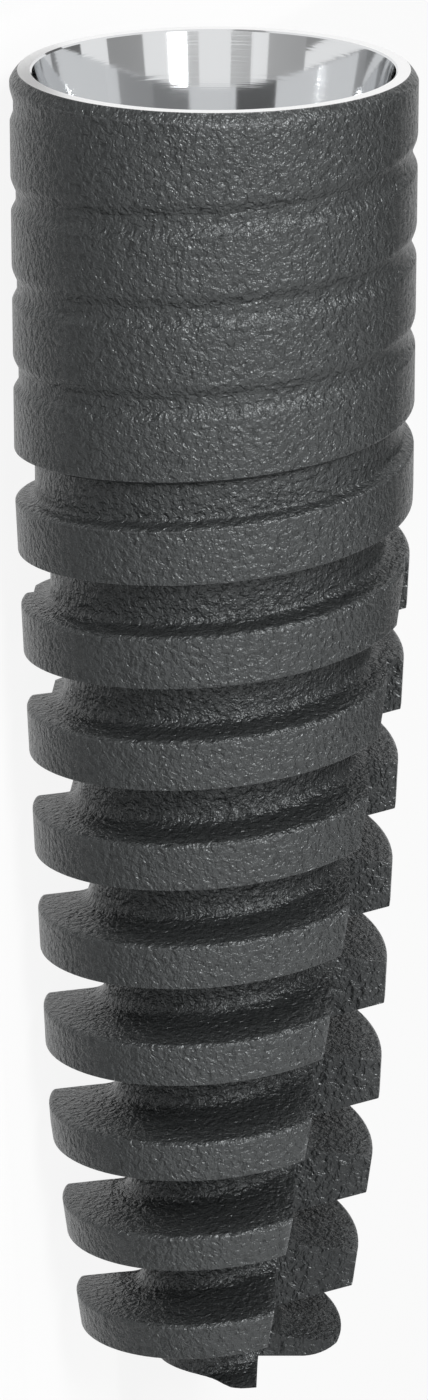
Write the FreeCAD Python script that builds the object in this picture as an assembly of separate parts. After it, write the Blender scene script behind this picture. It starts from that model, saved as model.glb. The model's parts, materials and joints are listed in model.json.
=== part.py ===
import FreeCAD, Part
import math
import os

# Lengths are millimetres, slopes given as a taper are radius lost per length, angles are degrees.
# The implant is shaped upright, its platform at height 0 and its tip below, then laid down to rest.

# Platform and collar
collar_d = 3.75
platform_d = 3.60
platform_edge_h = 0.15
length = 13.0

# Outside of the body: straight neck, gentle cone, steeper cone and rounded tip
neck_h = 4.0
gentle_taper = 0.04
steep_from = 10.43
steep_taper = 0.1286
tip_round_r = 0.36

# Arcs of the platform's and the tip's rounded edges, as shares of each edge's own size
platform_edge_mid_out = 0.62
platform_edge_mid_down = 0.35
platform_edge_end_out = 0.37
platform_edge_end_down = 1.35
tip_edge_mid_out = 0.72
tip_edge_mid_up = 0.27
tip_edge_end_out = 0.24
tip_edge_end_up = 1.2

# One right-handed groove, fine on the collar and coarse on the body
fine_pitch = 0.8455
coarse_pitch = 1.0117
groove_top = 0.0426
fine_turns = 3.18
change_turns = 1.64

# Groove section on the collar, where it deepens over its first part turn from the rim
fine_depth = 0.046
fine_mouth = 0.306
fine_upper_share = 0.35
fine_lower_share = 0.3
fine_break_share = 0.3
run_in_from = 0.1
run_in_turns = 0.23
run_in_least = 0.1

# Groove section on the body, which leaves square-edged threads over a tapering core
section_from = 2.95
section_turns = 1.6
core_r_at_neck = 1.62
core_taper = 0.1185
mouth_at_neck = 0.502
mouth_at_tip = 0.636
under_slope = 15.4
flank_slope = 8.2
root_fillet_out = 0.2
fillet_most = 0.6
crest_break_r = 0.03
crest_break_h = 0.03

# Cutting flutes: two, opposite each other, each with a flat back and a leaning wall
flute_back = 0.234
flute_top = 4.29
flute_mid = 8.47
flute_wall_top = 1.85
flute_wall_mid = 1.176
flute_wall_tip = 0.414

# Seat for the abutment: a cone, an indexing hexagon and a bore tapped for the screw
mouth_d = 3.34
cone_slope = 11.0
cone_depth = 2.3
hex_flats = 2.0
hex_depth = 1.3
bore_d = 1.6
bore_depth = 7.4
bore_lead = 0.15
drill_angle = 118.0

# How finely the groove's rails are followed, and into how many faces its hollow is split
samples_per_turn = 12
fillet_faces = 3

collar_r = collar_d / 2
platform_r = platform_d / 2
steep_r = collar_r - gentle_taper * (steep_from - neck_h)
origin = FreeCAD.Vector(0, 0, 0)
axis = FreeCAD.Vector(0, 0, 1)
clear = 1.0


def envelope_r(z):
    """Radius of the crests at the height z."""
    depth = -z
    if depth < neck_h:
        return collar_r
    if depth < steep_from:
        return collar_r - gentle_taper * (depth - neck_h)
    return steep_r - steep_taper * (depth - steep_from)


def smooth(t):
    """A rise from 0 to 1 with no kink at either end."""
    t = min(max(t, 0.0), 1.0)
    return t * t * (3 - 2 * t)


def mix(share, start, end):
    """The value that lies the given share of the way from start to end."""
    return (1 - share) * start + share * end


def groove_z(turns):
    """Height of the groove's upper edge, so many turns down from the rim."""
    past = turns - fine_turns
    if past < 0:
        return groove_top - fine_pitch * turns
    at_change = groove_top - fine_pitch * fine_turns
    if past < change_turns:
        t = past / change_turns
        gain = (coarse_pitch - fine_pitch) * change_turns * (t ** 3 - t ** 4 / 2)
        return at_change - fine_pitch * past - gain
    change = (fine_pitch + coarse_pitch) / 2 * change_turns
    return at_change - change - coarse_pitch * (past - change_turns)


def groove_section(turns):
    """The groove's corners in radius and height: crest, core, root corner, flank, crest break, crest."""
    z = groove_z(turns)
    share = smooth((turns - section_from) / section_turns)
    grown = mix(smooth((turns - run_in_from) / run_in_turns), run_in_least, 1.0)
    down = min(max((-z - neck_h) / (steep_from - neck_h), 0.0), 1.0)
    mouth = mix(share, fine_mouth, mix(down, mouth_at_neck, mouth_at_tip))
    crest = envelope_r(z)
    low_crest = envelope_r(z - mouth)
    core = core_r_at_neck + core_taper * (z + neck_h)
    root = mix(share, collar_r - fine_depth * grown, core)
    depth = low_crest - root
    under = (crest - root) * math.tan(math.radians(under_slope))
    flank = depth * math.tan(math.radians(flank_slope))
    under_drop = mix(share, fine_mouth * fine_upper_share, under)
    flank_rise = mix(share, fine_mouth * fine_lower_share, flank)
    slope = flank_rise / depth
    corner_z = z - mouth + flank_rise
    fillet_out = min(root_fillet_out, depth * fillet_most)
    break_r = mix(share, depth * fine_break_share, crest_break_r)
    break_z = z - mouth + slope * break_r
    break_h = mix(share, slope * break_r, crest_break_h)
    return [
        (crest, z),
        (root, z - under_drop),
        (root, corner_z),
        (root + fillet_out, corner_z - slope * fillet_out),
        (low_crest - break_r, break_z),
        (envelope_r(break_z - break_h), break_z - break_h),
    ]


# Turns of thread, counted until the last one lies wholly below the tip
first_turns = -1.25
turn_count = 1
while groove_z(first_turns + turn_count) > -length:
    turn_count = turn_count + 1

# Stations along the helix, one groove section each, and a smooth rail through each corner
stations = []
for i in range((turn_count + 1) * samples_per_turn + 1):
    turns = first_turns + i / samples_per_turn
    angle = math.radians(-90 - 360 * turns)
    station = []
    for r, z in groove_section(turns):
        station.append(FreeCAD.Vector(r * math.cos(angle), r * math.sin(angle), z))
    stations.append(station)
rails = []
for corner in range(len(stations[0])):
    rail = Part.BSplineCurve()
    rail.interpolate(
        Points=[station[corner] for station in stations],
        Parameters=[float(i) for i in range(len(stations))],
    )
    rails.append(rail)


def one_turn(corner, turn):
    """The piece of a rail that runs through one turn."""
    piece = rails[corner].copy()
    piece.segment(turn * samples_per_turn, (turn + 1) * samples_per_turn)
    return piece


def surface_between(poles, pattern, weights):
    """A surface along one turn, with the given poles and weights across it."""
    across = len(weights) - 1
    surface = Part.BSplineSurface()
    surface.buildFromPolesMultsKnots(
        poles,
        pattern.getMultiplicities(),
        [across + 1, across + 1],
        [knot - pattern.FirstParameter for knot in pattern.getKnots()],
        [0.0, 1.0],
        False,
        False,
        pattern.Degree,
        across,
        [weights for row in poles],
    )
    return surface


def strip(pieces):
    """A face ruled straight from one rail to the next."""
    poles = [[p.getPole(i + 1) for p in pieces] for i in range(pieces[0].NbPoles)]
    return surface_between(poles, pieces[0], [1.0, 1.0]).toShape()


def fillet_strips(pieces, weight):
    """A hollow rounded from the first rail to the third, as a few faces side by side."""
    poles = [[p.getPole(i + 1) for p in pieces] for i in range(pieces[0].NbPoles)]
    surface = surface_between(poles, pieces[0], [1.0, weight, 1.0])
    shares = []
    for i in range(fillet_faces):
        share = surface.copy()
        share.segment(0, samples_per_turn, i / fillet_faces, (i + 1) / fillet_faces)
        shares.append(share.toShape())
    return shares


def level_cap(piece):
    """A face from one turn of a rail level in to the axis."""
    poles = []
    for i in range(piece.NbPoles):
        pole = piece.getPole(i + 1)
        poles.append([pole, FreeCAD.Vector(0, 0, pole.z)])
    return surface_between(poles, piece, [1.0, 1.0]).toShape()


def step_face(turn, weight):
    """The flat face that closes the step between two turns, at the start of the given turn."""
    station = stations[turn * samples_per_turn]
    below = stations[(turn + 1) * samples_per_turn][0]
    hollow = Part.BezierCurve()
    hollow.setPoles(station[1:4])
    hollow.setWeight(2, weight)
    corners = [
        station[3],
        station[4],
        station[5],
        below,
        FreeCAD.Vector(0, 0, below.z),
        FreeCAD.Vector(0, 0, station[0].z),
        station[0],
        station[1],
    ]
    edges = [Part.makeLine(a, b) for a, b in zip(corners, corners[1:])]
    return Part.Face(Part.Wire([hollow.toShape()] + edges))


def thread_form():
    """The whole outside as one helical band of faces, longer than the implant at both ends."""
    weight = math.cos(math.radians((90 - flank_slope) / 2))
    faces = []
    for turn in range(turn_count):
        pieces = [one_turn(corner, turn) for corner in range(len(rails))]
        faces.append(strip(pieces[0:2]))
        faces.extend(fillet_strips(pieces[1:4], weight))
        faces.append(strip(pieces[3:5]))
        faces.append(strip(pieces[4:6]))
        faces.append(strip([pieces[5], one_turn(0, turn + 1)]))
    for turn in (0, turn_count):
        faces.append(level_cap(one_turn(0, turn)))
        faces.append(step_face(turn, weight))
    shell = Part.Shell(faces)
    shell.sewShape()
    form = Part.Solid(shell)
    if form.Volume < 0:
        form.reverse()
    return form


def at(r, z):
    """A point in the plane of an outline, by radius and height."""
    return FreeCAD.Vector(r, 0, z)


def turned(points):
    """A solid turned about the axis from corners given by radius and height.

    Three corners kept together in a list are the start, middle and end of an arc.
    """
    edges = []
    last = None
    for item in points + points[:1]:
        arc = isinstance(item, list)
        start = at(*item[0]) if arc else at(*item)
        if last is not None:
            edges.append(Part.makeLine(last, start))
        last = start
        if arc and len(edges) < len(points) * 2:
            edges.append(Part.Arc(start, at(*item[1]), at(*item[2])).toShape())
            last = at(*item[2])
    return Part.Face(Part.Wire(edges)).revolve(origin, axis, 360)


def platform_waste():
    """What is turned away above the platform and around its softened edge."""
    fall = collar_r - platform_r
    outside = collar_r + clear
    edge_end_z = -platform_edge_h * platform_edge_end_down
    edge = [
        (platform_r, 0),
        (platform_r + fall * platform_edge_mid_out, -platform_edge_h * platform_edge_mid_down),
        (collar_r + fall * platform_edge_end_out, edge_end_z),
    ]
    top = -groove_z(0) + groove_z(first_turns) + clear
    return turned([
        (0, 0),
        edge,
        (outside, edge_end_z),
        (outside, top),
        (0, top),
    ])


def tip_waste():
    """What is turned away below the tip and around its rounded edge."""
    end_r = envelope_r(-length)
    flat_r = end_r - tip_round_r
    outside = collar_r + clear
    edge_end_z = -length + tip_round_r * tip_edge_end_up
    edge = [
        (flat_r, -length),
        (flat_r + tip_round_r * tip_edge_mid_out, -length + tip_round_r * tip_edge_mid_up),
        (end_r + tip_round_r * tip_edge_end_out, edge_end_z),
    ]
    bottom = -length - coarse_pitch - clear
    return turned([
        (0, -length),
        edge,
        (outside, edge_end_z),
        (outside, bottom),
        (0, bottom),
    ])


def flute(half_turn):
    """The solid milled away for one cutting flute, turned so many degrees about the axis."""
    outside = collar_r + clear
    top = at(flute_wall_top, -flute_top)
    mid = at(flute_wall_mid, -flute_mid)
    tip = at(flute_wall_tip, -length)
    tip_out = at(outside, -length)
    top_out = at(outside, -flute_top + clear)
    wall = Part.Arc(top, mid, tip).toShape()
    edges = [
        wall,
        Part.makeLine(tip, tip_out),
        Part.makeLine(tip_out, top_out),
        Part.makeLine(top_out, top),
    ]
    solid = Part.Face(Part.Wire(edges)).extrude(FreeCAD.Vector(0, -outside, 0))
    solid.translate(FreeCAD.Vector(0, -flute_back, 0))
    solid.rotate(origin, axis, half_turn)
    return solid


def seat():
    """The hollow that takes the abutment: cone, hexagon, screw bore and drill point."""
    mouth_r = mouth_d / 2
    bore_r = bore_d / 2
    lean = math.tan(math.radians(cone_slope))
    hex_floor = -cone_depth - hex_depth
    drill_h = bore_r / math.tan(math.radians(drill_angle / 2))
    cone = turned([
        (0, clear),
        (mouth_r + clear * lean, clear),
        (mouth_r - cone_depth * lean, -cone_depth),
        (0, -cone_depth),
    ])
    corner_r = hex_flats / 2 / math.cos(math.radians(30))
    corners = []
    for i in range(7):
        angle = math.radians(60 * i)
        corners.append(
            FreeCAD.Vector(corner_r * math.cos(angle), corner_r * math.sin(angle), hex_floor)
        )
    hexagon = Part.Face(Part.makePolygon(corners))
    socket = hexagon.extrude(FreeCAD.Vector(0, 0, hex_depth + cone_depth / 2))
    bore = turned([
        (0, -cone_depth),
        (bore_r + bore_lead, -cone_depth),
        (bore_r + bore_lead, hex_floor),
        (bore_r, hex_floor - bore_lead),
        (bore_r, -bore_depth),
        (0, -bore_depth - drill_h),
    ])
    return [cone, socket, bore]


def laid_down(body):
    """The body turned so that it lies where its centre of mass is lowest, near one flute."""
    crest_points = []
    for edge in body.Edges:
        first, last = edge.ParameterRange
        for i in range(12):
            p = edge.valueAt(first + (last - first) * i / 11)
            if math.hypot(p.x, p.y) > envelope_r(p.z) - tip_round_r / 2:
                crest_points.append((p.x, p.y, p.z))
    middle = body.CenterOfMass

    def height(roll, tilt):
        flat = math.cos(math.radians(tilt))
        ux = flat * math.cos(math.radians(roll))
        uy = flat * math.sin(math.radians(roll))
        uz = math.sin(math.radians(tilt))
        lowest = min(x * ux + y * uy + z * uz for x, y, z in crest_points)
        return middle.x * ux + middle.y * uy + middle.z * uz - lowest

    roll = -27.0
    tilt = 3.0
    best = height(roll, tilt)
    step = 4.0
    while step > 0.001:
        moved = False
        for i in range(12):
            way = math.radians(30 * i)
            try_roll = roll + step * math.cos(way)
            try_tilt = tilt + step * math.sin(way) / 4
            found = height(try_roll, try_tilt)
            if found < best - 1e-9:
                roll, tilt, best = try_roll, try_tilt, found
                moved = True
        if not moved:
            step = step / 2
    laid = body.copy()
    laid.rotate(origin, axis, -90 - roll)
    laid.rotate(origin, FreeCAD.Vector(1, 0, 0), -90 + tilt)
    box = laid.optimalBoundingBox(False, False)
    laid.translate(FreeCAD.Vector(-box.Center.x, -box.Center.y, -box.ZMin))
    return laid


implant_fixture = thread_form()
implant_fixture = implant_fixture.cut(platform_waste())
implant_fixture = implant_fixture.cut(tip_waste())
for half_turn in (0, 180):
    implant_fixture = implant_fixture.cut(flute(half_turn))
for hollow in seat():
    implant_fixture = implant_fixture.cut(hollow)
implant_fixture = laid_down(implant_fixture.Solids[0])

os.makedirs("parts", exist_ok=True)
implant_fixture.exportStep("parts/implant_fixture.step")
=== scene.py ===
import json
import math

import bmesh
import bpy
from mathutils import Matrix, Vector


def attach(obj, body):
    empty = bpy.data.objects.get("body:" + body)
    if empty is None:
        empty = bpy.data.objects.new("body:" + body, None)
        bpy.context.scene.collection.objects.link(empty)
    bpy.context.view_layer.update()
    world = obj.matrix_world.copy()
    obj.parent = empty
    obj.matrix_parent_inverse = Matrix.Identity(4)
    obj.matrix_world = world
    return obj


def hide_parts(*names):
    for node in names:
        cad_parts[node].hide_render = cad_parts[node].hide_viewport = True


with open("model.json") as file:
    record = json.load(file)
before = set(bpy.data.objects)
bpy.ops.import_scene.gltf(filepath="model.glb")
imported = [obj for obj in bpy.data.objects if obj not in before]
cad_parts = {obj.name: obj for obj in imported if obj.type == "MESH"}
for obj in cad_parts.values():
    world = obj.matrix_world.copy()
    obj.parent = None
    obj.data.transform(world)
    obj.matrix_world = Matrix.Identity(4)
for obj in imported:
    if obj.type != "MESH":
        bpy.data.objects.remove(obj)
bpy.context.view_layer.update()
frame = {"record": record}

# The lie of the implant and the view of it
# An implant is drawn upright, its platform at height 0 and its tip below. This one lies on its
# thread, and the mounts of its seat and platform ring say where its upright directions point.
mounts = {mount["name"]: mount for mount in frame["record"]["mounts"]}
seat_place = Vector(mounts["abutment_seat"]["pos_m"])
to_ring = Vector(mounts["platform_ring"]["pos_m"]) - seat_place
up_axis = Vector(mounts["abutment_seat"]["axis"]).normalized()
back_way = (to_ring - up_axis * to_ring.dot(up_axis)).normalized()
right_way = back_way.cross(up_axis)
lie = Matrix((right_way, back_way, up_axis)).transposed().to_4x4()
lie.translation = seat_place
mm = Matrix.Scale(0.001, 4)

view_rise = 0.3443
view_distance = 0.04821
view_height = -0.006138
camera_data = bpy.data.cameras.new("camera")
camera_data.sensor_width = 36.0
camera_data.lens = 129.75
camera_data.clip_start = 0.001
camera_data.clip_end = 10.0
camera = bpy.data.objects.new("camera", camera_data)
bpy.context.scene.collection.objects.link(camera)
stand_back = Vector((0, -math.cos(view_rise), math.sin(view_rise)))
image_up = Vector((0, math.sin(view_rise), math.cos(view_rise)))
aim = Matrix((Vector((1, 0, 0)), image_up, stand_back)).transposed().to_4x4()
aim.translation = Vector((0, 0, view_height)) + stand_back * view_distance
camera.matrix_world = lie @ aim
bpy.context.scene.camera = camera


# The threaded body
# The implant is one piece turned from titanium bar. A single right-handed groove winds down it,
# shallow on the collar and then deeper over a tapering core, and leaves square-edged threads.
body_sizes = {
    "Collar radius": 1.875,
    "Neck height": 4.0,
    "Gentle taper": 0.04,
    "Steep from": 10.43,
    "Steep taper": 0.1286,
    "Fine pitch": 0.8455,
    "Coarse pitch": 1.0117,
    "Groove top": 0.0426,
    "Fine turns": 3.18,
    "Change turns": 1.64,
    "Fine depth": 0.046,
    "Fine mouth": 0.306,
    "Fine upper share": 0.35,
    "Fine lower share": 0.3,
    "Fine edge": 0.05,
    "Run-in from": 0.1,
    "Run-in turns": 0.23,
    "Run-in least": 0.1,
    "Section from": 2.95,
    "Section turns": 1.6,
    "Core radius at neck": 1.62,
    "Core taper": 0.1185,
    "Mouth at neck": 0.502,
    "Mouth at tip": 0.636,
    "Under slope": math.radians(15.4),
    "Flank slope": math.radians(8.2),
    "Root hollow": 0.2,
    "Crest break": 0.03,
    "Crest break height": 0.03,
    "Coarse edge": 0.012,
    "First turn": -2.0,
    "Turns": 18,
    "Top": 0.5,
    "Bottom": -13.6,
}


class Measure:
    """A number that nodes work out at every point, so that the thread's rule reads as sums."""

    def __init__(self, socket):
        self.socket = socket

    def worked(self, operation, *others):
        tree = self.socket.id_data
        node = tree.nodes.new("ShaderNodeMath")
        node.operation = operation
        for place, value in zip(node.inputs, (self,) + others):
            if isinstance(value, Measure):
                tree.links.new(value.socket, place)
            else:
                place.default_value = value
        return Measure(node.outputs[0])

    def __add__(self, other):
        return self.worked("ADD", other)

    def __sub__(self, other):
        return self.worked("SUBTRACT", other)

    def __rsub__(self, other):
        return self.worked("MULTIPLY_ADD", -1.0, other)

    def __mul__(self, other):
        return self.worked("MULTIPLY", other)

    def __truediv__(self, other):
        return self.worked("DIVIDE", other)

    __radd__ = __add__
    __rmul__ = __mul__


def within(value, low, high):
    return value.worked("MAXIMUM", low).worked("MINIMUM", high)


def eased(t):
    """A rise from 0 to 1 with no kink at either end."""
    t = within(t, 0.0, 1.0)
    return t * t * (3.0 - 2.0 * t)


def mixed(share, start, end):
    return start + share * (end - start)


def thread_tree():
    """The tree that winds a groove's section down a tapering envelope, as one closed skin."""
    tree = bpy.data.node_groups.new("thread form", "GeometryNodeTree")
    tree.interface.new_socket("Form", in_out="OUTPUT", socket_type="NodeSocketGeometry")
    for name, size in body_sizes.items():
        kind = "NodeSocketInt" if isinstance(size, int) else "NodeSocketFloat"
        tree.interface.new_socket(name, in_out="INPUT", socket_type=kind).default_value = size
    tree.interface.new_socket("Columns", in_out="INPUT", socket_type="NodeSocketInt")
    tree.interface.new_socket("Material", in_out="INPUT", socket_type="NodeSocketMaterial")
    given = tree.nodes.new("NodeGroupInput")
    size = {socket.name: Measure(socket) for socket in given.outputs if socket.name}

    # Rows across one turn's section: how many lie on each straight and on each rounded corner
    rows = [2, 4, 2, 3, 1, 8, 2, 3, 1, 4, 2]
    rows_per_turn = sum(rows)
    all_rows = size["Turns"] * float(rows_per_turn)
    grid = tree.nodes.new("GeometryNodeMeshGrid")
    grid.inputs["Size X"].default_value = 1.0
    grid.inputs["Size Y"].default_value = 1.0
    tree.links.new((size["Columns"] + 1.0).socket, grid.inputs["Vertices X"])
    tree.links.new((all_rows + 3.0).socket, grid.inputs["Vertices Y"])
    here = tree.nodes.new("GeometryNodeInputPosition")
    split = tree.nodes.new("ShaderNodeSeparateXYZ")
    tree.links.new(here.outputs[0], split.inputs[0])
    column = (Measure(split.outputs[0]) + 0.5) * size["Columns"]
    column = column.worked("ROUND")
    row = (Measure(split.outputs[1]) + 0.5) * (all_rows + 2.0) - 1.0
    row = row.worked("ROUND")
    wound_row = within(row, 0.0, all_rows)
    turn = ((wound_row + 0.5) / float(rows_per_turn)).worked("FLOOR")
    row_in_turn = wound_row - turn * float(rows_per_turn)
    turns = size["First turn"] + turn + column / size["Columns"]

    def envelope(z):
        past_neck = (-1.0 * z - size["Neck height"]).worked("MAXIMUM", 0.0)
        past_gentle = (-1.0 * z - size["Steep from"]).worked("MAXIMUM", 0.0)
        steeper = size["Steep taper"] - size["Gentle taper"]
        return size["Collar radius"] - size["Gentle taper"] * past_neck - steeper * past_gentle

    def groove_height(turns):
        past = turns - size["Fine turns"]
        t = within(past / size["Change turns"], 0.0, 1.0)
        bend = size["Change turns"] * (t * t * t * (1.0 - 0.5 * t))
        after = (past - size["Change turns"]).worked("MAXIMUM", 0.0)
        gain = (size["Coarse pitch"] - size["Fine pitch"]) * (bend + after)
        return size["Groove top"] - size["Fine pitch"] * turns - gain

    share = eased((turns - size["Section from"]) / size["Section turns"])
    run_in = eased((turns - size["Run-in from"]) / size["Run-in turns"])
    z = groove_height(turns)
    taper_run = size["Steep from"] - size["Neck height"]
    down = within((-1.0 * z - size["Neck height"]) / taper_run, 0.0, 1.0)
    coarse_mouth = mixed(down, size["Mouth at neck"], size["Mouth at tip"])
    mouth = mixed(share, size["Fine mouth"], coarse_mouth)
    crest = envelope(z)
    low_crest = envelope(z - mouth)
    core = size["Core radius at neck"] + size["Core taper"] * (z + size["Neck height"])
    fine_depth = size["Fine depth"] * mixed(run_in, size["Run-in least"], 1.0)
    root = mixed(share, size["Collar radius"] - fine_depth, core)
    depth = low_crest - root
    under = (crest - root) * size["Under slope"].worked("TANGENT")
    flank = depth * size["Flank slope"].worked("TANGENT")
    under_drop = mixed(share, size["Fine mouth"] * size["Fine upper share"], under)
    flank_rise = mixed(share, size["Fine mouth"] * size["Fine lower share"], flank)
    slope = flank_rise / depth
    break_r = mixed(share, depth * 0.3, size["Crest break"])
    break_z = z - mouth + slope * break_r
    break_h = mixed(share, slope * break_r, size["Crest break height"])

    # The section starts and ends on the crest, a little above the groove
    above = 0.3 * (size["Fine pitch"] - size["Fine mouth"])
    start_z = z + above
    end_z = groove_height(turns + 1.0) + above
    corners = [
        (envelope(start_z), start_z),
        (crest, z),
        (root, z - under_drop),
        (root, z - mouth + flank_rise),
        (low_crest - break_r, break_z),
        (envelope(break_z - break_h), break_z - break_h),
        (envelope(end_z), end_z),
    ]
    legs = []
    for (r0, z0), (r1, z1) in zip(corners, corners[1:]):
        out = r1 - r0
        rise = z1 - z0
        run = (out * out + rise * rise).worked("SQRT")
        legs.append((out / run, rise / run, run))
    edge = mixed(share, size["Fine edge"], size["Coarse edge"])
    hollow = size["Root hollow"].worked("MINIMUM", depth * 0.6)
    hollow = hollow.worked("MINIMUM", 0.85 * legs[2][2])
    break_round = 0.45 * legs[4][2]
    rounds = [
        edge,
        0.12 * legs[2][2],
        hollow.worked("MINIMUM", 0.55 * legs[3][2]),
        break_round.worked("MINIMUM", 0.4 * legs[3][2]),
        break_round,
    ]

    # How far along the section each row lies
    zones = [legs[0][2] - rounds[0]]
    for i, width in enumerate(rounds):
        zones.append(2.0 * width)
        last = i + 1 == len(rounds)
        straight = legs[i + 1][2] - width
        zones.append(straight if last else straight - rounds[i + 1])
    along = None
    first = 0
    for count, zone in zip(rows, zones):
        part = zone * within((row_in_turn - float(first)) / float(count), 0.0, 1.0)
        along = part if along is None else along + part
        first = first + count

    # The point reached: each leg is walked between two corners, and the corners are eased
    r, z = corners[0]
    walked = along
    corner_at = None
    for i, (out, rise, run) in enumerate(legs):
        corner_at = run if corner_at is None else corner_at + run
        if i < len(rounds):
            past_corner = (along - corner_at).worked("SMOOTH_MAX", 0.0, rounds[i])
            step = walked - past_corner
            walked = past_corner
        else:
            step = walked
        r = r + step * out
        z = z + step * rise

    # Beyond both ends the groove fades out and the skin closes to the axis
    fade = eased((z - size["Top"] + 0.25) / 0.25) + eased((size["Bottom"] + 0.3 - z) / 0.3)
    r = mixed(within(fade, 0.0, 1.0), r, envelope(z.worked("MAXIMUM", size["Bottom"])))
    on_skin = (row - all_rows).worked("COMPARE", 1.0, 0.5)
    on_skin = (1.0 - on_skin) * (1.0 - row.worked("COMPARE", -1.0, 0.5))
    r = r * on_skin
    z = z.worked("MAXIMUM", size["Bottom"]).worked("MINIMUM", size["Top"])
    angle = turns * (-2 * math.pi) - math.pi / 2
    place = tree.nodes.new("ShaderNodeCombineXYZ")
    tree.links.new((r * angle.worked("COSINE")).socket, place.inputs[0])
    tree.links.new((r * angle.worked("SINE")).socket, place.inputs[1])
    tree.links.new(z.socket, place.inputs[2])

    move = tree.nodes.new("GeometryNodeSetPosition")
    merge = tree.nodes.new("GeometryNodeMergeByDistance")
    merge.inputs["Distance"].default_value = 0.0001
    real = tree.nodes.new("GeometryNodeRealizeInstances")
    paint = tree.nodes.new("GeometryNodeSetMaterial")
    out = tree.nodes.new("NodeGroupOutput")
    tree.links.new(grid.outputs["Mesh"], move.inputs["Geometry"])
    tree.links.new(place.outputs[0], move.inputs["Position"])
    tree.links.new(move.outputs[0], merge.inputs[0])
    tree.links.new(merge.outputs[0], real.inputs[0])
    tree.links.new(real.outputs[0], paint.inputs["Geometry"])
    tree.links.new(given.outputs["Material"], paint.inputs["Material"])
    tree.links.new(paint.outputs[0], out.inputs[0])
    return tree


def plain_object(name, mesh):
    made = bpy.data.objects.new(name, mesh)
    bpy.context.scene.collection.objects.link(made)
    return made


def as_built(thing):
    """The object's mesh with its modifiers worked out."""
    bpy.context.view_layer.update()
    graph = bpy.context.evaluated_depsgraph_get()
    return bpy.data.meshes.new_from_object(thing.evaluated_get(graph))


def wound(name, tree, sizes, columns, material):
    """A plain object with the form that the tree makes from these sizes."""
    holder = plain_object(name, bpy.data.meshes.new(name))
    modifier = holder.modifiers.new("wind", "NODES")
    modifier.node_group = tree
    values = dict(body_sizes)
    values.update(sizes)
    values["Columns"] = columns
    values["Material"] = material
    for item in tree.interface.items_tree:
        if item.in_out == "INPUT":
            modifier[item.identifier] = values[item.name]
    mesh = as_built(holder)
    holder.modifiers.clear()
    holder.data = mesh
    return holder


blasted = bpy.data.materials.new("blasted titanium")
tree = thread_tree()
implant = wound("implant", tree, body_sizes, 96, blasted)


# The ends of the body
# The bar is faced at the platform, which stays a bright flat ring, and its outer edge is softened
# before the blasting. The tip is turned flat and its edge is rounded.
faced = bpy.data.materials.new("faced ring")


def as_mesh(name, corners, faces, material):
    mesh = bpy.data.meshes.new(name)
    mesh.from_pydata(corners, [], faces)
    mesh.materials.append(material)
    return plain_object(name, mesh)


def outwards(thing):
    skin = bmesh.new()
    skin.from_mesh(thing.data)
    bmesh.ops.recalc_face_normals(skin, faces=skin.faces)
    skin.to_mesh(thing.data)
    skin.free()


def turned(name, outline, steps, material):
    """A solid of revolution from radius and height. Its first and last corners are on the axis."""
    corners = [(0, 0, outline[0][1]), (0, 0, outline[-1][1])]
    for i in range(steps):
        angle = 2 * math.pi * i / steps
        corners += [(r * math.cos(angle), r * math.sin(angle), z) for r, z in outline[1:-1]]
    count = len(outline) - 2
    faces = []
    for i in range(steps):
        a = 2 + i * count
        b = 2 + (i + 1) % steps * count
        faces.append((0, a, b))
        faces += [(a + j, a + j + 1, b + j + 1, b + j) for j in range(count - 1)]
        faces.append((a + count - 1, 1, b + count - 1))
    made = as_mesh(name, corners, faces, material)
    outwards(made)
    return made


def arc(start, middle, end, steps):
    """Points along the arc through three points of an outline."""
    (ax, ay), (bx, by), (cx, cy) = start, middle, end
    d = 2 * (ax * (by - cy) + bx * (cy - ay) + cx * (ay - by))
    a2, b2, c2 = ax * ax + ay * ay, bx * bx + by * by, cx * cx + cy * cy
    ox = (a2 * (by - cy) + b2 * (cy - ay) + c2 * (ay - by)) / d
    oy = (a2 * (cx - bx) + b2 * (ax - cx) + c2 * (bx - ax)) / d
    radius = math.hypot(ax - ox, ay - oy)
    first = math.atan2(ay - oy, ax - ox)
    turn = (math.atan2(cy - oy, cx - ox) - first + math.pi) % (2 * math.pi) - math.pi
    ways = [first + turn * i / steps for i in range(steps + 1)]
    return [(ox + radius * math.cos(way), oy + radius * math.sin(way)) for way in ways]


def cut_away(body, cutter):
    """Takes the cutter's solid out of the body and gives the cut faces the cutter's material."""
    modifier = body.modifiers.new("cut", "BOOLEAN")
    modifier.operation = "DIFFERENCE"
    modifier.solver = "MANIFOLD"
    modifier.material_mode = "TRANSFER"
    modifier.object = cutter
    mesh = as_built(body)
    body.modifiers.clear()
    body.data = mesh
    bpy.data.objects.remove(cutter)


collar_r = body_sizes["Collar radius"]
platform_r = 1.80
edge_h = 0.15
beyond = 3.0
fall = collar_r - platform_r
rim_end_z = -edge_h * 1.35
rim = arc(
    (platform_r, 0),
    (platform_r + fall * 0.62, -edge_h * 0.35),
    (collar_r + fall * 0.37, rim_end_z),
    10,
)
top_waste = turned(
    "top_waste",
    [(0, 0)] + rim + [(beyond, rim_end_z), (beyond, 1), (0, 1)],
    192,
    faced,
)
top_waste.data.materials.append(blasted)
for polygon in top_waste.data.polygons:
    if polygon.center.xy.length > platform_r:
        polygon.material_index = 1
cut_away(implant, top_waste)

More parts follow.
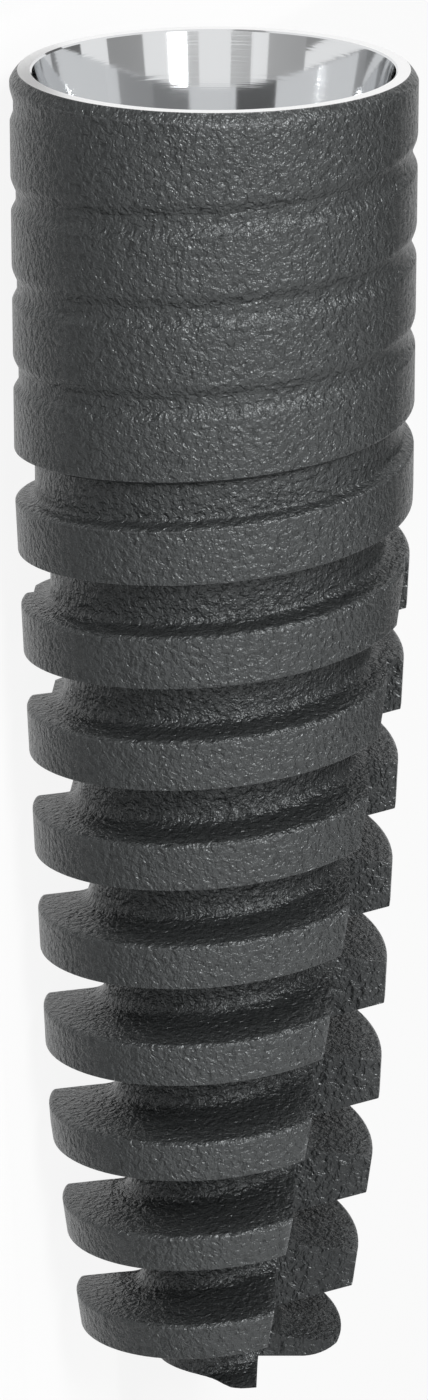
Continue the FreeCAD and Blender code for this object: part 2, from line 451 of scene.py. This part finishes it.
length = 13.0
steep_from = body_sizes["Steep from"]
gentle_fall = body_sizes["Gentle taper"] * (steep_from - body_sizes["Neck height"])
end_r = collar_r - gentle_fall - body_sizes["Steep taper"] * (length - steep_from)
round_r = 0.36
round_end_z = -length + round_r * 1.2
rim = arc(
    (end_r - round_r, -length),
    (end_r - round_r + round_r * 0.72, -length + round_r * 0.27),
    (end_r + round_r * 0.24, round_end_z),
    12,
)
tip_waste = turned(
    "tip_waste",
    [(0, -length)] + rim + [(beyond, round_end_z), (beyond, -length - 1), (0, -length - 1)],
    144,
    blasted,
)
cut_away(implant, tip_waste)

# The cutting flutes
# Two flutes are milled opposite each other near the tip, each with a flat back and a leaning wall,
# and let the implant cut its own thread. The milled faces are left coarser by the blasting.
milled = bpy.data.materials.new("blasted flute")
flute_back = 0.234
wall = arc((1.85, -4.29), (1.176, -8.47), (0.414, -length), 48)
(before_x, before_z), (last_x, last_z) = wall[-2:]
below_tip = (last_x + (last_x - before_x) * 2, last_z + (last_z - before_z) * 2)
outline = wall + [below_tip, (beyond, below_tip[1]), (beyond, -3.3)]
for half_turn in (1, -1):
    corners = [(half_turn * x, -half_turn * flute_back, z) for x, z in outline]
    corners += [(half_turn * x, -half_turn * beyond, z) for x, z in outline]
    n = len(outline)
    faces = [tuple(range(n)), tuple(range(2 * n - 1, n - 1, -1))]
    faces += [(i, (i + 1) % n, (i + 1) % n + n, i + n) for i in range(n)]
    flute = as_mesh("flute", corners, faces, milled)
    outwards(flute)
    cut_away(implant, flute)

# The seat for the abutment
# A cone that wedges the abutment, a hexagon that stops it turning and a bore tapped for its screw
# are machined after the blasting, so they stay bright. The tap runs in below the hexagon.
machined = bpy.data.materials.new("machined titanium")
tap_sizes = {
    "Collar radius": 0.97,
    "Neck height": 100.0,
    "Steep from": 200.0,
    "Fine pitch": 0.4,
    "Groove top": -3.6,
    "Fine turns": 100.0,
    "Fine depth": 0.2,
    "Fine mouth": 0.34,
    "Fine upper share": 0.44,
    "Fine lower share": 0.44,
    "Fine edge": 0.015,
    "Run-in from": -10.0,
    "Section from": 100.0,
    "First turn": -1.0,
    "Turns": 12,
    "Top": -3.9,
    "Bottom": -7.3,
}
tap = wound("tap", tree, tap_sizes, 48, machined)
cut_away(implant, tap)
lean = math.tan(math.radians(11))
mouth_r = 1.67
cone_depth = 2.3
hex_half_flats = 1.0
hex_top = -1.5
hex_floor = -3.6
bore_r = 0.8
bore_lead = 0.15
bore_floor = -7.4
drill_half_angle = math.radians(59)
break_w = 0.015
cone = turned(
    "cone",
    [
        (0, 0.5),
        (mouth_r + break_w + 0.5, 0.5),
        (mouth_r + break_w, 0),
        (mouth_r - break_w * lean, -break_w),
        (mouth_r - cone_depth * lean, -cone_depth),
        (0, -cone_depth),
    ],
    192,
    machined,
)
cut_away(implant, cone)
hex_round = 0.08
corners = []
for side in range(6):
    middle = math.radians(60 * side + 30)
    middle_r = (hex_half_flats - hex_round) / math.cos(math.radians(30))
    for step in range(5):
        way = middle + math.radians(60 * (step / 4 - 0.5))
        corners.append((
            middle_r * math.cos(middle) + hex_round * math.cos(way),
            middle_r * math.sin(middle) + hex_round * math.sin(way),
        ))
n = len(corners)
socket = as_mesh(
    "socket",
    [(x, y, hex_top) for x, y in corners] + [(x, y, hex_floor) for x, y in corners],
    [tuple(range(n)), tuple(range(2 * n - 1, n - 1, -1))]
    + [(i, (i + 1) % n, (i + 1) % n + n, i + n) for i in range(n)],
    machined,
)
outwards(socket)
cut_away(implant, socket)
bore = turned(
    "bore",
    [
        (0, -cone_depth - 0.2),
        (bore_r + bore_lead, -cone_depth - 0.2),
        (bore_r + bore_lead, hex_floor),
        (bore_r, hex_floor - bore_lead),
        (bore_r, bore_floor),
        (0, bore_floor - bore_r / math.tan(drill_half_angle)),
    ],
    96,
    machined,
)
cut_away(implant, bore)

# The upright place of every point, and how sharp an edge it lies on, are kept for the materials
# before the implant is laid down
mesh = implant.data
upright = mesh.attributes.new("upright", "FLOAT_VECTOR", "POINT")
places = [0.0] * (3 * len(mesh.vertices))
mesh.vertices.foreach_get("co", places)
upright.data.foreach_set("vector", places)
skin = bmesh.new()
skin.from_mesh(mesh)
angles = [
    max((edge.calc_face_angle_signed(0.0) for edge in vertex.link_edges), default=0.0)
    for vertex in skin.verts
]
skin.free()
blunt = 0.2
sharp = 0.5
sharpness = mesh.attributes.new("edge", "FLOAT", "POINT")
sharpness.data.foreach_set(
    "value", [min(max((angle - blunt) / (sharp - blunt), 0.0), 1.0) for angle in angles]
)
mesh.polygons.foreach_set("use_smooth", [True] * len(mesh.polygons))
mesh.set_sharp_from_angle(angle=math.radians(32))
mesh.transform(lie @ mm)
kept = [material for material in mesh.materials if material]
moved = [kept.index(material) if material else 0 for material in mesh.materials]
indices = [moved[polygon.material_index] for polygon in mesh.polygons]
mesh.materials.clear()
for material in kept:
    mesh.materials.append(material)
mesh.polygons.foreach_set("material_index", indices)


# The blasted skin
# Grit leaves the dark titanium leathery: soft bumps a few hundredths of a millimetre wide, with
# finer pits between them. Edges are rubbed a little brighter, and the colour is darkened with depth
# below the crests, a painted shade in the bottom of the groove. The flutes came out coarser.
def added(tree, kind, values=(), **settings):
    """A node with these settings, whose inputs are numbers or are fed by other nodes' sockets."""
    node = tree.nodes.new(kind)
    for name, value in settings.items():
        setattr(node, name, value)
    for name, value in dict(values).items():
        if isinstance(value, bpy.types.NodeSocket):
            tree.links.new(value, node.inputs[name])
        else:
            node.inputs[name].default_value = value
    return node


def shader_group(name, inputs, outputs):
    """An empty node group with number inputs, and with outputs named with their kinds."""
    group = bpy.data.node_groups.new(name, "ShaderNodeTree")
    for label in inputs:
        group.interface.new_socket(label, in_out="INPUT", socket_type="NodeSocketFloat")
    for label, kind in outputs.items():
        group.interface.new_socket(label, in_out="OUTPUT", socket_type="NodeSocket" + kind)
    given = group.nodes.new("NodeGroupInput")
    result = group.nodes.new("NodeGroupOutput")
    return group, given, result


def blasted_grain():
    """Bumps, pits and tone of a grit-blasted skin, for a grain of so many bumps a millimetre, with
    a painted shade that darkens the tone deep in the grooves.
    """
    group, given, result = shader_group(
        "blasted grain",
        ["Grain", "Relief"],
        {"Tone with painted shade": "Float", "Roughness": "Float", "Normal": "Vector"},
    )
    grain = Measure(given.outputs["Grain"])
    place = added(group, "ShaderNodeAttribute", attribute_name="upright").outputs["Vector"]
    swells = added(group, "ShaderNodeTexNoise", {
        "Vector": place, "Scale": grain.socket, "Detail": 2.0, "Roughness": 0.55, "Distortion": 0.5,
    })
    grit = added(group, "ShaderNodeTexNoise", {
        "Vector": place, "Scale": (grain * 2.7).socket, "Detail": 1.0, "Roughness": 0.6,
    })
    patches = added(group, "ShaderNodeTexNoise", {"Vector": place, "Scale": 1.1, "Detail": 2.0})
    swell = Measure(swells.outputs["Fac"])
    fine = Measure(grit.outputs["Fac"])
    height = swell + fine * 0.25
    bump = added(group, "ShaderNodeBump", {
        "Strength": 1.0, "Distance": given.outputs["Relief"], "Height": height.socket,
    })
    open_face = within((swell - 0.3) / 0.2, 0.0, 1.0)
    split = added(group, "ShaderNodeSeparateXYZ", {"Vector": place})
    x = Measure(split.outputs["X"])
    y = Measure(split.outputs["Y"])
    below_neck = (-1.0 * Measure(split.outputs["Z"]) - body_sizes["Neck height"]).worked(
        "MAXIMUM", 0.0
    )
    mean_taper = 0.05
    deep = collar_r - mean_taper * below_neck - (x * x + y * y).worked("SQRT")
    # Painted shade: the colour is darkened with depth below the crest line, down to six tenths at
    # the bottom of the groove.
    shade = mixed(within((deep - 0.05) / 0.2, 0.0, 1.0), 1.0, 0.6)
    tone = mixed(open_face, 0.5, 1.0) * (0.86 + Measure(patches.outputs["Fac"]) * 0.28) * shade
    rough = 0.2 + fine * 0.2
    group.links.new(tone.socket, result.inputs["Tone with painted shade"])
    group.links.new(rough.socket, result.inputs["Roughness"])
    group.links.new(bump.outputs["Normal"], result.inputs["Normal"])
    return group


def skin_material(material, grain, relief, dark, light, wear):
    """Dark blasted titanium with rubbed edges, and a painted shade deep in the grooves."""
    material.use_nodes = True
    tree = material.node_tree
    shader = tree.nodes["Principled BSDF"]
    skin = added(tree, "ShaderNodeGroup", node_tree=blasted_skin)
    skin.inputs["Grain"].default_value = grain
    skin.inputs["Relief"].default_value = relief
    # The blasted colour carries the grain's tone and the painted shade in the grooves.
    colour = added(tree, "ShaderNodeMix", {
        "Factor": skin.outputs["Tone with painted shade"], "A": dark, "B": light,
    }, data_type="RGBA")
    edge = Measure(added(tree, "ShaderNodeAttribute", attribute_name="edge").outputs["Fac"])
    rubbed = edge * edge * Measure(skin.outputs["Tone with painted shade"]) * wear
    worn = added(tree, "ShaderNodeMix", {
        "Factor": rubbed.socket, "A": colour.outputs["Result"], "B": (0.2, 0.205, 0.21, 1),
    }, data_type="RGBA")
    tree.links.new(worn.outputs["Result"], shader.inputs["Base Color"])
    tree.links.new(skin.outputs["Roughness"], shader.inputs["Roughness"])
    tree.links.new(skin.outputs["Normal"], shader.inputs["Normal"])
    shader.inputs["Metallic"].default_value = 0.5


blasted_skin = blasted_grain()
skin_material(blasted, 16.0, 0.000044, (0.022, 0.024, 0.025, 1), (0.064, 0.068, 0.069, 1), 0.4)
skin_material(milled, 11.0, 0.00005, (0.016, 0.018, 0.019, 1), (0.046, 0.049, 0.050, 1), 0.0)


# The machined faces
# The ring and the seat are cut by a fine tool on a lathe, whose marks run round the axis. They
# are masked or cut after the blasting, so the bare titanium stays bright.
def tool_marks():
    """Fine rings left by a turning tool, by distance from the axis and by height."""
    group, given, result = shader_group(
        "tool marks", ["Relief"], {"Sheen": "Float", "Normal": "Vector"}
    )
    place = added(group, "ShaderNodeAttribute", attribute_name="upright").outputs["Vector"]
    split = added(group, "ShaderNodeSeparateXYZ", {"Vector": place})
    x = Measure(split.outputs["X"])
    y = Measure(split.outputs["Y"])
    along = (x * x + y * y).worked("SQRT") - Measure(split.outputs["Z"])
    rings = added(group, "ShaderNodeTexNoise", {
        "W": along.socket, "Scale": 45.0, "Detail": 2.0, "Roughness": 0.5,
    }, noise_dimensions="1D")
    smears = added(group, "ShaderNodeTexNoise", {"Vector": place, "Scale": 2.5, "Detail": 3.0})
    bump = added(group, "ShaderNodeBump", {
        "Strength": 1.0, "Distance": given.outputs["Relief"], "Height": rings.outputs["Fac"],
    })
    sheen = Measure(rings.outputs["Fac"]) * 0.5 + Measure(smears.outputs["Fac"]) * 0.5
    group.links.new(sheen.socket, result.inputs["Sheen"])
    group.links.new(bump.outputs["Normal"], result.inputs["Normal"])
    return group


def bright_material(material, relief, colour, smoothest, roughest):
    """Bare machined titanium."""
    material.use_nodes = True
    tree = material.node_tree
    shader = tree.nodes["Principled BSDF"]
    marks = added(tree, "ShaderNodeGroup", node_tree=lathe_marks)
    marks.inputs["Relief"].default_value = relief
    rough = mixed(Measure(marks.outputs["Sheen"]), smoothest, roughest)
    tree.links.new(rough.socket, shader.inputs["Roughness"])
    tree.links.new(marks.outputs["Normal"], shader.inputs["Normal"])
    shader.inputs["Base Color"].default_value = colour
    shader.inputs["Metallic"].default_value = 1.0


lathe_marks = tool_marks()
bright_material(machined, 0.00000012, (0.72, 0.73, 0.74, 1), 0.03, 0.10)
bright_material(faced, 0.0000008, (0.95, 0.95, 0.95, 1), 0.25, 0.45)

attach(implant, "root")
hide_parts("implant_fixture")

# The floor
# A plain matt sheet, on which the implant lies. It shows white to the camera and to what mirrors
# it, and keeps a faint shadow.
floor_mesh = bpy.data.meshes.new("floor")
floor_mesh.from_pydata([(-2, -2, 0), (2, -2, 0), (2, 2, 0), (-2, 2, 0)], [], [(0, 1, 2, 3)])
floor = plain_object("floor", floor_mesh)
white = bpy.data.materials.new("white floor")
white.use_nodes = True
paper = white.node_tree.nodes["Principled BSDF"]
paper.inputs["Base Color"].default_value = (0.9, 0.9, 0.9, 1)
paper.inputs["Roughness"].default_value = 0.9
paper.inputs["Specular IOR Level"].default_value = 0.0
shine = added(white.node_tree, "ShaderNodeEmission", {"Color": (1, 1, 1, 1), "Strength": 1.0})
path = added(white.node_tree, "ShaderNodeLightPath")
shown = Measure(path.outputs["Is Camera Ray"])
shown = shown.worked("MAXIMUM", Measure(path.outputs["Is Glossy Ray"]))
shown = shown.worked("MAXIMUM", Measure(path.outputs["Is Transmission Ray"]))
whiteness = 0.9
both = added(white.node_tree, "ShaderNodeMixShader", {
    0: (shown * whiteness).socket, 1: paper.outputs[0], 2: shine.outputs[0],
})
floor_end = white.node_tree.nodes["Material Output"]
white.node_tree.links.new(both.outputs[0], floor_end.inputs["Surface"])
floor_mesh.materials.append(white)


# The light
# A softbox stands above the platform, a little right of the camera, with a weaker strip under
# it, and a white room fills the rest. Grey cards, which the camera doesn't see, darken the far
# sides and give the polished seat something to mirror.
def softbox(name, round_way, low, high, width, brightness):
    """A tall lit panel at so many degrees round the implant's axis from the camera's side."""
    away = 0.14
    half_way_down = Vector((0, 0, -0.006))
    way = math.radians(round_way)
    out = Vector((math.sin(way), -math.cos(way), 0))
    middle = out * away + Vector((0, 0, (low + high) / 2))
    faces_away = (middle - half_way_down).normalized()
    across = Vector((math.cos(way), math.sin(way), 0))
    along = faces_away.cross(across)
    lamp = bpy.data.lights.new(name, "AREA")
    lamp.shape = "RECTANGLE"
    lamp.size = width
    lamp.size_y = high - low
    lamp.energy = brightness * math.pi * width * (high - low)
    light = bpy.data.objects.new(name, lamp)
    bpy.context.scene.collection.objects.link(light)
    aim = Matrix((across, along, faces_away)).transposed().to_4x4()
    aim.translation = middle
    light.matrix_world = lie @ aim


def card(name, grey, corners):
    """A grey card that the camera doesn't see and that the polished metal mirrors."""
    card_mesh = bpy.data.meshes.new(name)
    n = len(corners) // 2
    faces = [(2 * i, 2 * i + 2, 2 * i + 3, 2 * i + 1) for i in range(n - 1)]
    card_mesh.from_pydata(corners, [], faces)
    paint = bpy.data.materials.new(name)
    paint.use_nodes = True
    matt = paint.node_tree.nodes["Principled BSDF"]
    matt.inputs["Base Color"].default_value = (grey, grey, grey, 1)
    matt.inputs["Roughness"].default_value = 0.9
    card_mesh.materials.append(paint)
    made = plain_object(name, card_mesh)
    made.visible_camera = False
    made.visible_shadow = False


def standing_card(name, grey, first, last, low, high):
    """A tall card that curves round the implant between two of its directions, in degrees."""
    away = 0.17
    corners = []
    for i in range(13):
        way = math.radians(first + (last - first) * i / 12)
        for z in (low, high):
            corners.append(lie @ Vector((away * math.sin(way), -away * math.cos(way), z)))
    card(name, grey, corners)


def lying_card(name, grey, near, far, low, high):
    """A card on the floor, so far in front of the line on which the implant lies."""
    ahead = Vector((up_axis.x, up_axis.y, 0)).normalized()
    aside = Vector((0, 0, 1)).cross(ahead)
    if aside.dot(right_way) > 0:
        aside = -aside
    start = Vector((seat_place.x, seat_place.y, 0.00005))
    corners = [start + aside * out + ahead * z for out in (near, far) for z in (low, high)]
    card(name, grey, corners)


softbox("key", 27, 0.065, 0.125, 0.035, 38.0)
softbox("key strip", 24, -0.03, 0.03, 0.03, 3.0)
standing_card("card ahead", 0.6, 10, 19, -0.03, 0.03)
standing_card("card right", 0.4, 47, 73, -0.03, 0.03)
standing_card("card left", 0.6, -24.5, -11, -0.03, 0.03)
standing_card("card behind", 0.2, 95, 150, -0.12, 0.12)
lying_card("card on the floor", 0.4, 0.0014, 0.0085, -0.03, 0.06)
lying_card("card on the floor behind", 0.12, -0.012, -0.0006, -0.03, -0.0008)
lying_card("card before the seat", 0.3, -0.001, 0.0014, 0.0004, 0.06)
world = bpy.data.worlds.new("studio")
bpy.context.scene.world = world
world.use_nodes = True
nodes = world.node_tree.nodes
sky = nodes["Background"]
sky.inputs["Color"].default_value = (1, 1, 1, 1)
path = nodes.new("ShaderNodeLightPath")
shown = Measure(path.outputs["Is Camera Ray"])
shown = shown.worked("MAXIMUM", Measure(path.outputs["Is Glossy Ray"]))
shown = shown.worked("MAXIMUM", Measure(path.outputs["Is Transmission Ray"]))
strength = mixed(shown, 0.45, 1.0)
world.node_tree.links.new(strength.socket, sky.inputs["Strength"])

bpy.context.scene.view_settings.view_transform = "Standard"
